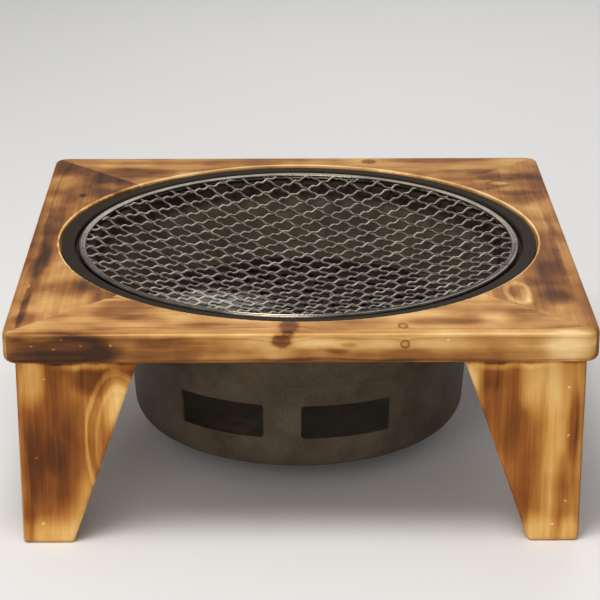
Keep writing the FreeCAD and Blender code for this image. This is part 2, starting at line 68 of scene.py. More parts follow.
def tone(red: int, green: int, blue: int) -> tuple[float, float, float, float]:
    """Turn a screen colour into the linear colour that a shader reads.

    Args:
        red: Screen red, 0 to 255.
        green: Screen green, 0 to 255.
        blue: Screen blue, 0 to 255.

    Returns:
        The linear colour, with full alpha.
    """
    def straighten(part: int) -> float:
        """Undo the screen curve of one channel."""
        share = part / 255
        return share / 12.92 if share <= 0.04045 else ((share + 0.055) / 1.055) ** 2.4
    return (straighten(red), straighten(green), straighten(blue), 1.0)


def metres(sizes: Triple) -> list[float]:
    """Turn millimetres into metres."""
    return [size * MM for size in sizes]


def put_in_scene(name: str, data: bpy.types.ID) -> bpy.types.Object:
    """Make an object of some data and link it to the scene."""
    placed = bpy.data.objects.new(name, data)
    bpy.context.scene.collection.objects.link(placed)
    return placed


# ---- node trees

class Bench:
    """A node tree under construction, for shaders and Geometry Nodes alike."""

    def __init__(self, tree: bpy.types.NodeTree) -> None:
        """Start on a tree."""
        self.tree = tree

    def feed(self, socket: Socket, value: object) -> None:
        """Join a socket to another, or set its plain value.

        Args:
            socket: The input to feed.
            value: An output socket, a number, a vector or a colour.
        """
        if isinstance(value, bpy.types.NodeSocket):
            self.tree.links.new(value, socket)
        else:
            socket.default_value = value

    def add(self, kind: str, feeds: dict | None = None, **settings: object) -> bpy.types.Node:
        """Add one node.

        Args:
            kind: The node's type name.
            feeds: What each input gets, by its name or place.
            settings: Properties of the node.

        Returns:
            The new node.
        """
        node = self.tree.nodes.new(kind)
        for name, value in settings.items():
            setattr(node, name, value)
        for key, value in (feeds or {}).items():
            self.feed(node.inputs[key], value)
        return node

    def math(self, operation: str, *values: object) -> Socket:
        """Work out one step of arithmetic and return its result."""
        return self.add("ShaderNodeMath", dict(enumerate(values)), operation=operation).outputs[0]

    def flipped(self, value: object) -> Socket:
        """Return 1 minus a value."""
        return self.math("SUBTRACT", 1.0, value)

    def plus(self, base: object, pattern: object, amount: object) -> Socket:
        """Add a pattern times an amount to a value."""
        return self.math("MULTIPLY_ADD", pattern, amount, base)

    def swung(self, base: object, pattern: object, amount: float) -> Socket:
        """Add a pattern that lies about a half, so that it swings the value both ways."""
        return self.plus(base, self.math("SUBTRACT", pattern, 0.5), amount)

    def vector(self, operation: str, *values: object) -> Socket:
        """Work out one step on vectors and return its result."""
        node = self.add("ShaderNodeVectorMath", dict(enumerate(values)), operation=operation)
        return node.outputs["Value" if operation in ("LENGTH", "DISTANCE", "DOT_PRODUCT") else "Vector"]

    def scaled(self, vector: object, amounts: Triple) -> Socket:
        """Stretch a vector by an amount along each axis."""
        return self.vector("MULTIPLY", vector, amounts)

    def times(self, vector: object, amount: object) -> Socket:
        """Scale a vector by a value."""
        return self.add("ShaderNodeVectorMath", {0: vector, "Scale": amount}, operation="SCALE").outputs[0]

    def ease(self, value: object, low: object, high: object) -> Socket:
        """Rise smoothly from 0 at low to 1 at high."""
        node = self.add("ShaderNodeMapRange", {0: value, 1: low, 2: high}, interpolation_type="SMOOTHSTEP")
        return node.outputs[0]

    def mixed(self, factor: object, first: object, second: object) -> Socket:
        """Mix two colours.

        Args:
            factor: How much of the second colour shows.
            first: The colour below.
            second: The colour above.

        Returns:
            The mixed colour.
        """
        node = self.add("ShaderNodeMix", data_type="RGBA")
        for place, value in ((0, factor), (6, first), (7, second)):
            self.feed(node.inputs[place], value)
        return node.outputs[2]

    def noise(self, vector: object, scale: float, detail: float = 2.0, roughness: float = 0.5) -> Socket:
        """Return a soft random value, about 0 to 1, over a place."""
        node = self.add("ShaderNodeTexNoise", {"Vector": vector, "Scale": scale, "Detail": detail,
                                               "Roughness": roughness})
        return node.outputs["Fac"]

    def wander(self, place: object, stretch: Triple, detail: float) -> Socket:
        """Return a soft random shift, about 0 on each axis, over a stretched place."""
        node = self.add("ShaderNodeTexNoise", {"Vector": self.scaled(place, stretch), "Scale": 1.0,
                                               "Detail": detail})
        return self.vector("SUBTRACT", node.outputs["Color"], (0.5, 0.5, 0.5))

    def ramp(self, value: object, stops: tuple[tuple[float, tuple], ...]) -> Socket:
        """Turn a value into a colour between named stops.

        Args:
            value: The value, 0 to 1.
            stops: Each stop's place and colour, in rising order.

        Returns:
            The colour.
        """
        node = self.add("ShaderNodeValToRGB", {0: value})
        band = node.color_ramp
        while len(band.elements) < len(stops):
            band.elements.new(0.5)
        for element, (place, colour) in zip(band.elements, stops):
            element.position = place
            element.color = colour
        return node.outputs["Color"]

    def group(self, tree: bpy.types.NodeTree, **feeds: object) -> bpy.types.Node:
        """Place a shared group, with its own values by input name."""
        node = self.add("ShaderNodeGroup", node_tree=tree)
        for name, value in feeds.items():
            self.feed(node.inputs[name.replace("_", " ")], value)
        return node


class SharedGroup:
    """A node group that several materials place, each with its own values."""

    KINDS = {"float": "NodeSocketFloat", "vector": "NodeSocketVector", "int": "NodeSocketInt",
             "geometry": "NodeSocketGeometry", "material": "NodeSocketMaterial"}

    def __init__(self, name: str, takes: dict[str, str], gives: dict[str, str],
                 kind: str = "ShaderNodeTree") -> None:
        """Open an empty group.

        Args:
            name: The group's name.
            takes: Each input's kind by its name.
            gives: Each output's kind by its name.
            kind: The tree's type.
        """
        self.tree = bpy.data.node_groups.new(name, kind)
        for way, sockets in (("INPUT", takes), ("OUTPUT", gives)):
            for socket, sort in sockets.items():
                self.tree.interface.new_socket(socket, in_out=way, socket_type=self.KINDS[sort])
        self.bench = Bench(self.tree)
        self.takes = self.tree.nodes.new("NodeGroupInput").outputs
        self.gives = self.tree.nodes.new("NodeGroupOutput").inputs

    @classmethod
    def of_patterns(cls, name: str, vectors: str, floats: str, gives: str) -> "SharedGroup":
        """Open an empty shader group that turns vectors and values into patterns.

        Args:
            name: The group's name.
            vectors: The names of its vector inputs, with commas between.
            floats: The names of its plain inputs, likewise.
            gives: The names of its outputs, likewise.

        Returns:
            The group.
        """
        takes = dict.fromkeys(vectors.split(", "), "vector") | dict.fromkeys(floats.split(", "), "float")
        return cls(name, takes, dict.fromkeys(gives.split(", "), "float"))

    def give(self, name: str, value: object) -> None:
        """Send a value out of the group."""
        self.bench.feed(self.gives[name], value)


class Effects:
    """The shared shader groups, built once.

    GRAIN holds each grain pattern's name, stretch along, across and through the board, detail and
    roughness. Stretches and scales are in cycles a metre. Each pair of numbers is where an effect
    starts and where it is full: the knot's parts as shares of its half size, dust by how far a face
    looks up, and the rest by the strength of the pattern behind it.
    """

    DRIFT_STRETCH = (7, 16, 16)
    GRAIN = (("Streak", (5, 110, 110), 3.0, 0.55), ("Thread", (11, 420, 420), 2.0, 0.55),
             ("Fibre", (40, 1500, 1500), 2.0, 0.6))
    RING_RISE = 2.2
    LATEWOOD_END = 0.86
    STRONG_YEARS = (0.25, 0.75)
    KNOT_RAGGED_SCALE = 260.0
    KNOT_CORE = (0.65, 1.05)
    KNOT_RING = ((0.6, 0.9), (0.95, 1.3))
    KNOT_SPREAD = 0.3
    SANDED_HIGHLIT_SCALE = 45.0
    SANDED_HIGHLIT_PATCHES = (0.15, 0.55)
    SANDED_HIGHLIT_HALF_WIDTH = (0.2 * MM, 1.2 * MM)
    ASH_FACING_UP = (0.35, 0.95)
    ASH_CLOUDS = (0.45, 0.75)

    def __init__(self) -> None:
        """Build every group."""
        self.pine_rings = self._pine_rings()
        self.torch_mark = self._torch_mark()
        self.pin_knot = self._pin_knot()
        self.nicks = self._nicks()
        self.sanded_edge = self._sanded_edge()
        self.mottle = self._mottle()
        self.dust = self._dust()

    def _pine_rings(self) -> bpy.types.NodeTree:
        """Build year rings round a heart that runs along the board, with streaks and fibres.

        Returns:
            The group: it takes a place in the board's own axes and gives four patterns.
        """
        made = SharedGroup.of_patterns("pine_rings", "Place, Heart", "Ring Width, Waver, Swell",
                                       "Latewood, Streak, Thread, Fibre")
        bench, takes = made.bench, made.takes
        drift = bench.times(bench.wander(takes["Place"], self.DRIFT_STRETCH, 2.0), takes["Waver"])
        away = bench.vector("SUBTRACT", bench.vector("ADD", takes["Place"], drift), takes["Heart"])
        radius = bench.vector("LENGTH", bench.scaled(away, (0, 1, 1)))
        count = bench.math("DIVIDE", bench.math("ADD", radius, takes["Swell"]), takes["Ring Width"])
        year = bench.math("FRACT", count)
        rise = bench.math("POWER", year, self.RING_RISE)
        fall = bench.flipped(bench.ease(year, self.LATEWOOD_END, 1.0))
        which = bench.add("ShaderNodeTexNoise", {"W": bench.math("MULTIPLY", count, 0.9), "Scale": 1.0,
                                                 "Detail": 1.0}, noise_dimensions="1D").outputs["Fac"]
        strong = bench.ease(which, *self.STRONG_YEARS)
        made.give("Latewood", bench.math("MULTIPLY", bench.math("MULTIPLY", rise, fall), strong))
        for name, stretch, detail, roughness in self.GRAIN:
            made.give(name, bench.noise(bench.scaled(takes["Place"], stretch), 1.0, detail, roughness))
        return made.tree

    def _torch_mark(self) -> bpy.types.NodeTree:
        """Build one soft patch or one soft loop, dark or pale: mostly what the flame left, some painted
        shadows and highlights.

        Returns:
            The group: it takes a warped place and gives a mask, full where the distance from the
            centre is near the rim.
        """
        made = SharedGroup.of_patterns("torch_mark", "Place, Centre, Half", "Rim, Width, Softness", "Mask")
        bench, takes = made.bench, made.takes
        away = self._share_of_half(bench, takes)
        beyond = bench.math("ABSOLUTE", bench.math("SUBTRACT", bench.vector("LENGTH", away), takes["Rim"]))
        distance = bench.math("DIVIDE", beyond, takes["Width"])
        inner = bench.flipped(takes["Softness"])
        outer = bench.math("ADD", 1.0, takes["Softness"])
        made.give("Mask", bench.flipped(bench.ease(distance, inner, outer)))
        return made.tree

    @staticmethod
    def _share_of_half(bench: Bench, takes: bpy.types.NodeOutputs) -> Socket:
        """Return the way from the centre to the place, as a share of the half size on each axis."""
        way = bench.vector("SUBTRACT", takes["Place"], takes["Centre"])
        return bench.vector("DIVIDE", way, takes["Half"])

    def _pin_knot(self) -> bpy.types.NodeTree:
        """Build a knot: a dark core, a darker ring round it and the swell it gives the rings.

        Returns:
            The group: it takes a place and gives three patterns.
        """
        made = SharedGroup("pin_knot", dict.fromkeys(("Place", "Centre", "Half"), "vector"),
                           dict.fromkeys(("Core", "Ring", "Swell"), "float"))
        bench, takes = made.bench, made.takes
        away = self._share_of_half(bench, takes)
        ragged = bench.noise(takes["Place"], self.KNOT_RAGGED_SCALE)
        distance = bench.swung(bench.vector("LENGTH", away), ragged, 0.5)
        made.give("Core", bench.flipped(bench.ease(distance, *self.KNOT_CORE)))
        inner, outer = (bench.ease(distance, *edge) for edge in self.KNOT_RING)
        made.give("Ring", bench.math("MULTIPLY", inner, bench.flipped(outer)))
        spread = bench.math("MULTIPLY", bench.math("MULTIPLY", distance, distance), -self.KNOT_SPREAD)
        made.give("Swell", bench.math("EXPONENT", spread))
        return made.tree

    def _nicks(self) -> bpy.types.NodeTree:
        """Build a thin scatter of small dents and chips.

        Returns:
            The group: it takes a place and gives a mask.
        """
        made = SharedGroup.of_patterns("nicks", "Place", "Spacing, Size, Share", "Mask")
        bench, takes = made.bench, made.takes
        cells = bench.add("ShaderNodeTexVoronoi", {"Scale": bench.math("DIVIDE", 1.0, takes["Spacing"]),
                                                   "Vector": takes["Place"]})
        distance = bench.math("MULTIPLY", cells.outputs["Distance"], takes["Spacing"])
        core = bench.math("MULTIPLY", takes["Size"], 0.5)
        near = bench.flipped(bench.ease(distance, core, takes["Size"]))
        lot = bench.add("ShaderNodeSeparateColor", {0: cells.outputs["Color"]}).outputs[0]
        chosen = bench.math("LESS_THAN", lot, takes["Share"])
        made.give("Mask", bench.math("MULTIPLY", near, chosen))
        return made.tree

    def _sanded_edge(self) -> bpy.types.NodeTree:
        """Build the pale band of the top's rounded edges: wear where sanding bared the paler wood, and a
        painted highlight.

        Returns:
            The group: it takes a place, the hole's radius, half the table's side and the top's
            height, and gives a mask.
        """
        made = SharedGroup.of_patterns("sanded_edge", "Place", "Hole, Half Side, Top, Round", "Mask")
        bench, takes = made.bench, made.takes
        split = bench.add("ShaderNodeSeparateXYZ", {0: takes["Place"]}).outputs
        radius = bench.vector("LENGTH", bench.scaled(takes["Place"], (1, 1, 0)))
        rim = bench.math("ABSOLUTE", bench.math("SUBTRACT", radius, takes["Hole"]))
        outward = bench.math("MAXIMUM", bench.math("ABSOLUTE", split[0]), bench.math("ABSOLUTE", split[1]))
        aside = bench.plus(bench.math("SUBTRACT", outward, takes["Half Side"]), takes["Round"], 0.15)
        down = bench.plus(bench.math("SUBTRACT", split[2], takes["Top"]), takes["Round"], 0.5)
        edge = bench.vector("LENGTH", bench.add("ShaderNodeCombineXYZ", {0: aside, 1: down}).outputs[0])
        near = bench.math("MINIMUM", rim, edge)
        patchy = bench.ease(bench.noise(takes["Place"], self.SANDED_HIGHLIT_SCALE, 3.0), *self.SANDED_HIGHLIT_PATCHES)
        worn_and_highlit = bench.flipped(bench.ease(near, *self.SANDED_HIGHLIT_HALF_WIDTH))
        made.give("Mask", bench.math("MULTIPLY", patchy, worn_and_highlit))
        return made.tree

    def _mottle(self) -> bpy.types.NodeTree:
        """Build the uneven tone and fine grit of a sprayed or scaled metal.

        Returns:
            The group: it takes a place and gives a broad and a fine pattern.
        """
        made = SharedGroup.of_patterns("mottle", "Place", "Broad Size, Fine Size", "Broad, Fine")
        bench, takes = made.bench, made.takes
        for name, detail in (("Broad", 4.0), ("Fine", 2.0)):
            size = takes[f"{name} Size"]
            made.give(name, bench.noise(takes["Place"], bench.math("DIVIDE", 1.0, size), detail, 0.6))
        return made.tree

    def _dust(self) -> bpy.types.NodeTree:
        """Build a veil of pale dust from the fire that lies on upward faces.

        Returns:
            The group: it takes a place and gives a mask.
        """
        made = SharedGroup.of_patterns("ash_dust", "Place", "Amount, Size", "Mask")
        bench, takes = made.bench, made.takes
        normal = bench.add("ShaderNodeNewGeometry").outputs["Normal"]
        up = bench.ease(bench.vector("DOT_PRODUCT", normal, (0, 0, 1)), *self.ASH_FACING_UP)
        cloud = bench.noise(takes["Place"], bench.math("DIVIDE", 1.0, takes["Size"]), 5.0, 0.65)
        settled = bench.math("MULTIPLY", up, bench.ease(cloud, *self.ASH_CLOUDS))
        made.give("Mask", bench.math("MULTIPLY", settled, takes["Amount"]))
        return made.tree


# ---- finishes

def new_material(name: str) -> tuple[bpy.types.Material, Bench, bpy.types.Node, Socket]:
    """Start a material.

    Args:
        name: The material's name.

    Returns:
        The material, its bench, its Principled shader and the place on the object.
    """
    material = bpy.data.materials.new(name)
    material.use_nodes = True
    bench = Bench(material.node_tree)
    shader = next(node for node in material.node_tree.nodes if node.type == "BSDF_PRINCIPLED")
    place = bench.add("ShaderNodeTexCoord").outputs["Object"]
    return material, bench, shader, place


def finish_shader(bench: Bench, shader: bpy.types.Node, colour: Socket, rough: Socket, height: Socket,
                  strength: float, depth: float) -> None:
    """Feed a shader its colour, its roughness and its bump.

    Args:
        bench: The material's bench.
        shader: The Principled shader.
        colour: The base colour.
        rough: The roughness.
        height: The pattern that stands out.
        strength: How strongly the bump shows, 0 to 1.
        depth: How far it stands out, in millimetres.
    """
    bump = bench.add("ShaderNodeBump", {"Height": height, "Strength": strength, "Distance": depth * MM})
    for name, value in (("Base Color", colour), ("Roughness", rough), ("Normal", bump.outputs[0])):
        bench.feed(shader.inputs[name], value)


class Grain(Enum):
    """Which way a board's grain runs, as its own axes: along, across and through."""

    LEFT_TO_RIGHT = ("X", "Y", "Z")
    FRONT_TO_BACK = ("Y", "X", "Z")
    UPRIGHT_FACING_FRONT = ("Z", "X", "Y")
    UPRIGHT_FACING_SIDE = ("Z", "Y", "X")


@dataclass(frozen=True)
class Mark:
    """A patch in millimetres, darker above 0 and paler below: mostly what the torch left, a few painted
    shadows and highlights.

    A rim of 1 leaves only a loop round the patch, of the given width as a share of its half size.
    """

    at: Triple
    half: Triple
    burn: float
    softness: float = 0.6
    rim: float = 0.0
    width: float = 1.0

    def mask(self, bench: Bench, effects: Effects, place: Socket) -> Socket:
        """Place this mark's group and return its mask.

        Args:
            bench: The material's bench.
            effects: The shared groups.
            place: The warped place on the object.

        Returns:
            The mask, 0 to 1.
        """
        return bench.group(effects.torch_mark, Place=place, Centre=metres(self.at), Half=metres(self.half),
                           Rim=self.rim, Width=self.width, Softness=self.softness).outputs[0]


TOP_TONES = ((0.0, tone(234, 198, 142)), (0.2, tone(213, 168, 106)), (0.4, tone(184, 134, 74)),
             (0.6, tone(145, 93, 44)), (0.8, tone(101, 60, 29)), (1.0, tone(62, 39, 25)))
LEG_TONES = ((0.0, tone(236, 194, 122)), (0.2, tone(214, 160, 86)), (0.4, tone(184, 125, 56)),
             (0.6, tone(145, 84, 32)), (0.8, tone(104, 56, 21)), (1.0, tone(66, 37, 19)))


CHIP_HALF = (1.1, 3.0, 0.8)
CHIP_BURN = -0.32
CHIP_SOFTNESS = 0.5


class Face(Enum):
    """A face that the torch marked: the axis that it is square to, and its place on that axis."""

    TOP = (2, 159)
    FRONT = (1, -200)
    LEG_FRONT = (1, -192)
    LEG_BACK = (1, 193)
    LEG_LEFT = (0, -193)
    LEG_RIGHT = (0, 193)


def marks_on(face: Face, depth: float, *rows: tuple[float, ...]) -> tuple[Mark, ...]:
    """Lay marks on one face: torch marks, and a few painted shadow lines.

    Args:
        face: The face.
        depth: Half of how deep each mark reaches.
        rows: For each mark its place and its half size on the face's two axes, its burn and, where
            they are not the usual ones, its softness, rim and width.

    Returns:
        The marks.
    """
    axis, level = face.value
    marks = []
    for first, second, half_first, half_second, *rest in rows:
        at = [first, second]
        half = [half_first, half_second]
        at.insert(axis, level)
        half.insert(axis, depth)
        marks.append(Mark(tuple(at), tuple(half), *rest))
    return tuple(marks)


def chip(across: float, depth: float, up: float) -> Mark:
    """Describe a small pale chip in a burnt face, at a place in millimetres."""
    return Mark((across, depth, up), CHIP_HALF, CHIP_BURN, CHIP_SOFTNESS)


@dataclass(frozen=True)
class Knot:
    """A knot's middle and half sizes, in millimetres, and how dark its core and its ring are."""

    at: Triple
    half: Triple
    core: float = 0.4
    ring: float = 0.3
    swell: float = 2.5


@dataclass(frozen=True)
class CharredPine:
    """The charred and brushed look of one board, its sizes in millimetres.

    HOLE is the radius of the hole's rounded edge, and the table's edges have rounding EDGE_ROUND.
    The other capitals are how strongly each pattern burns the wood and how fine it is.
    """

    node: str
    grain: Grain
    heart: tuple[float, float]
    ring_width: float = 5.5
    waver: float = 14.0
    shade: float = 0.4
    sanded: float = 0.0
    tones: tuple[tuple[float, tuple], ...] = TOP_TONES
    ragged: float = 11.0
    blotchy: float = 0.28
    streaky: float = 1.0
    cloudy: float = 1.0
    marks: tuple[Mark, ...] = ()
    knots: tuple[Knot, ...] = ()

    HOLE = 179.4
    EDGE_ROUND = 3.0
    LATEWOOD = 0.2
    GRAIN = (("Streak", 0.36), ("Thread", 0.2), ("Fibre", 0.1))
    CLOUD = 0.7
    CLOUD_SCALE = 17.0
    SMOKE = 0.5
    SMOKE_STRETCH = (10, 34, 34)
    BLOTCH_SCALE = 46.0
    BLOTCH_SHIFT = (0.3, 0.1, 0.0)
    WANDER_STRETCH = (20, 60, 60)
    NICK = 0.35
    NICK_SPACING = 22.0
    NICK_SIZE = 0.9
    NICK_SHARE = 0.22
    NICK_DEPTH = 1.6
    FIBRE_DEPTH = 0.35
    LATEWOOD_DEPTH = 0.5
    SHEEN = 0.5
    CHAR_DULLING = 0.1
    FIBRE_DULLING = 0.16
    SPECULAR = 0.14

    def build(self, effects: Effects) -> bpy.types.Material:
        """Make the board's material.

        Args:
            effects: The shared groups.

        Returns:
            The material.
        """
        material, bench, shader, place = new_material(f"charred_pine_{self.node}")
        split = bench.add("ShaderNodeSeparateXYZ", {0: place}).outputs
        axes = {to: split[axis] for to, axis in enumerate(self.grain.value)}
        along_grain = bench.add("ShaderNodeCombineXYZ", axes).outputs[0]
        burn, swell = self._patches(bench, effects, place, along_grain)
        rings = bench.group(effects.pine_rings, Place=along_grain,
                            Heart=metres((0.0, *self.heart)),
                            Ring_Width=self.ring_width * MM, Waver=self.waver * MM, Swell=swell).outputs
        burn = bench.plus(burn, rings["Latewood"], self.LATEWOOD * self.streaky)
        for name, strength in self.GRAIN:
            burn = bench.swung(burn, rings[name], strength * self.streaky)
        nicks = bench.group(effects.nicks, Place=place, Spacing=self.NICK_SPACING * MM,
                            Size=self.NICK_SIZE * MM, Share=self.NICK_SHARE).outputs[0]
        burn = bench.plus(burn, nicks, -self.NICK)
        # Paler along the rounded edges and the hole's rim: partly sanding wear, partly a painted highlight
        # where the rounding catches the light.
        if self.sanded:
            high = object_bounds()[1]
            worn_and_highlit = bench.group(effects.sanded_edge, Place=place, Hole=self.HOLE * MM, Half_Side=high[0],
                               Top=high[2], Round=self.EDGE_ROUND * MM).outputs[0]
            burn = bench.plus(burn, worn_and_highlit, -self.sanded)
        colour = bench.ramp(burn, self.tones)
        fibres = bench.math("MULTIPLY", rings["Fibre"], self.FIBRE_DEPTH)
        height = bench.plus(fibres, rings["Latewood"], self.LATEWOOD_DEPTH)
        height = bench.plus(height, nicks, -self.NICK_DEPTH)
        rough = bench.plus(self.SHEEN, burn, self.CHAR_DULLING)
        rough = bench.plus(rough, rings["Fibre"], self.FIBRE_DULLING)
        finish_shader(bench, shader, colour, rough, height, strength=0.3, depth=0.6)
        shader.inputs["Specular IOR Level"].default_value = self.SPECULAR
        return material

    def _patches(self, bench: Bench, effects: Effects, place: Socket,
                 along_grain: Socket) -> tuple[Socket, Socket | float]:
        """Add up the marks, torch marks and a few painted shadows, and the knots.

        Args:
            bench: The material's bench.
            effects: The shared groups.
            place: The place on the object.
            along_grain: The same place in the board's own axes.

        Returns:
            The burn so far, and how much the knots swell the rings.
        """
        shift = bench.wander(along_grain, self.WANDER_STRETCH, 3.0)
        ragged = bench.vector("ADD", place, bench.scaled(shift, metres((self.ragged,) * 3)))
        clouds = bench.noise(place, self.CLOUD_SCALE, 3.0)
        smoke = bench.noise(bench.scaled(along_grain, self.SMOKE_STRETCH), 1.0, 3.0)
        blotches = bench.noise(bench.vector("ADD", ragged, self.BLOTCH_SHIFT), self.BLOTCH_SCALE)
        burn = bench.swung(self.shade, clouds, self.CLOUD * self.cloudy)
        burn = bench.swung(burn, smoke, self.SMOKE * self.cloudy)
        burn = bench.swung(burn, blotches, self.blotchy)
        for mark in self.marks:
            burn = bench.plus(burn, mark.mask(bench, effects, ragged), mark.burn)
        swell = 0.0
        for knot in self.knots:
            made = bench.group(effects.pin_knot, Place=place, Centre=metres(knot.at),
                               Half=metres(knot.half)).outputs
            burn = bench.plus(burn, made["Core"], knot.core)
            burn = bench.plus(burn, made["Ring"], knot.ring)
            swell = bench.plus(swell, made["Swell"], knot.swell * MM)
        return burn, swell


@dataclass(frozen=True)
class SawnPine:
    """Bare sawn pine, for the blocks and dowels that no flame reached."""

    name: str = "sawn_pine"

    HEART = (0.0, 50.0, 20.0)
    RING_WIDTH = 4.0
    WAVER = 10.0
    TONES = ((0.0, tone(226, 192, 140)), (0.5, tone(206, 164, 108)), (1.0, tone(164, 116, 66)))

    def build(self, effects: Effects) -> bpy.types.Material:
        """Make the material from the shared groups."""
        material, bench, shader, place = new_material(self.name)
        rings = bench.group(effects.pine_rings, Place=place, Heart=metres(self.HEART),
                            Ring_Width=self.RING_WIDTH * MM, Waver=self.WAVER * MM, Swell=0.0).outputs
        colour = bench.ramp(bench.plus(bench.math("MULTIPLY", rings["Streak"], 0.5),
                                       rings["Latewood"], 0.45), self.TONES)
        rough = bench.plus(0.55, rings["Fibre"], 0.2)
        finish_shader(bench, shader, colour, rough, rings["Fibre"], strength=0.4, depth=0.5)
        return material


@dataclass(frozen=True)
class MetalFinish:
    """A metal's finish: two tones, sheen, grit, dust, painted shade and painted highlights, its sizes in
    millimetres.
    """

    name: str
    dark: tuple
    light: tuple
    metallic: float
    roughness: float
    roughness_spread: float
    broad_size: float = 30.0
    fine_size: float = 0.8
    grit: float = 0.25
    dust: float = 0.0
    specular: float = 0.5
    ash: tuple[Mark, ...] = ()
    painted_shade_above: float | None = None

    BROAD_SHARE = 0.7
    TONE_SPREAD = (0.3, 0.7)
    PAINTED_HIGHLIGHT_PATCHES = (0.25, 0.6)
    DUST_DULLING = 0.4
    PAINTED_HIGHLIGHT_DULLING = 0.3
    PAINTED_SHADE_TONES = (tone(34, 27, 21), tone(50, 42, 33))
    PAINTED_SHADE_FADE = 6.0
    DUST_TONE = tone(176, 170, 162)
    DUST_SIZE = 30.0
    PAINTED_HIGHLIGHT_TONE = tone(206, 196, 182)
    BUMP_DEPTH = 0.2

    def build(self, effects: Effects) -> bpy.types.Material:
        """Make the material from the shared groups.

        Args:
            effects: The shared groups.

        Returns:
            The material.
        """
        material, bench, shader, place = new_material(self.name)
        mottle = bench.group(effects.mottle, Place=place, Broad_Size=self.broad_size * MM,
                             Fine_Size=self.fine_size * MM).outputs
        fine = bench.math("MULTIPLY", mottle["Fine"], 1 - self.BROAD_SHARE)
        share = bench.plus(fine, mottle["Broad"], self.BROAD_SHARE)
        colour = bench.mixed(bench.ease(share, *self.TONE_SPREAD), self.dark, self.light)
        # Painted shade: darker tones above a height, for the up-facing collar and flange.
        if self.painted_shade_above is not None:
            up = bench.add("ShaderNodeSeparateXYZ", {0: place}).outputs[2]
            fade = bench.ease(up, self.painted_shade_above * MM, (self.painted_shade_above + self.PAINTED_SHADE_FADE) * MM)
            colour = bench.mixed(fade, colour, bench.mixed(share, *self.PAINTED_SHADE_TONES))
        rough = bench.swung(self.roughness, share, self.roughness_spread)
        if self.dust:
            veil = bench.group(effects.dust, Place=place, Amount=self.dust,
                               Size=self.DUST_SIZE * MM).outputs[0]
            colour = bench.mixed(veil, colour, self.DUST_TONE)
            rough = bench.plus(rough, veil, self.DUST_DULLING)
        # Painted highlights: pale patches where light is seen through the net.
        for mark in self.ash:
            patches = bench.ease(share, *self.PAINTED_HIGHLIGHT_PATCHES)
            patchy = bench.math("MULTIPLY", mark.mask(bench, effects, place), patches)
            colour = bench.mixed(bench.math("MULTIPLY", patchy, mark.burn), colour, self.PAINTED_HIGHLIGHT_TONE)
            rough = bench.plus(rough, patchy, self.PAINTED_HIGHLIGHT_DULLING)
        finish_shader(bench, shader, colour, rough, mottle["Fine"], self.grit, self.BUMP_DEPTH)
        shader.inputs["Metallic"].default_value = self.metallic
        shader.inputs["Specular IOR Level"].default_value = self.specular
        return material


POT_COAT = MetalFinish("black_coat", tone(63, 54, 44), tone(89, 77, 62), 0.0, 0.55, 0.25, fine_size=1.2,
                       grit=0.2, specular=0.1)
# Painted shade: the collar and its flange are darker above a height.
COLLAR_COAT = replace(POT_COAT, name="painted_shade_coat", specular=0.03, painted_shade_above=138.0)
ZINC_PLATE = MetalFinish("zinc_plate", tone(150, 146, 132), tone(196, 190, 170), 0.9, 0.35, 0.3,
                         broad_size=6.0)
# The pale patch on the plate is a painted highlight, for light seen through the net.
SCALED_STEEL = MetalFinish("scaled_steel", tone(18, 14, 11), tone(30, 24, 19), 0.0, 0.7, 0.3, dust=0.03,
                           fine_size=1.6, grit=0.5, specular=0.15,
                           ash=(Mark((-65, 24, 96), (34, 22, 8), 0.5, 0.7),))
# A painted glint: a pale patch on both wire families at the front left.
PAINTED_GLINT_ON_NET = Mark((-66, -120, 144), (34, 34, 14), 1.0, 0.6)
# The long and the cross wires are one steel: the long wires' lighter tones are a painted highlight, the
# cross wires' darker tones a painted shade.
PAINTED_LIT_WIRE = MetalFinish("painted_lit_wire", tone(112, 102, 91), tone(200, 189, 172), 0.7, 0.36, 0.3,
                          broad_size=12.0, ash=(PAINTED_GLINT_ON_NET,))
PAINTED_SHADED_WIRE = MetalFinish("painted_shaded_wire", tone(74, 66, 57), tone(140, 129, 115), 0.6, 0.48, 0.3,
                          broad_size=12.0, ash=(PAINTED_GLINT_ON_NET,))
GRATE_BAND = MetalFinish("grate_band_steel", tone(80, 71, 60), tone(128, 117, 102), 0.95, 0.19, 0.15,
                         broad_size=20.0)


def dress(node: str, material: bpy.types.Material) -> None:
    """Give a CAD node its material, in every slot it has."""
    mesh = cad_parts[node].data
    mesh.materials.clear()
    mesh.materials.append(material)
    log.info("dressed %s with %s", node, material.name)


# ---- table

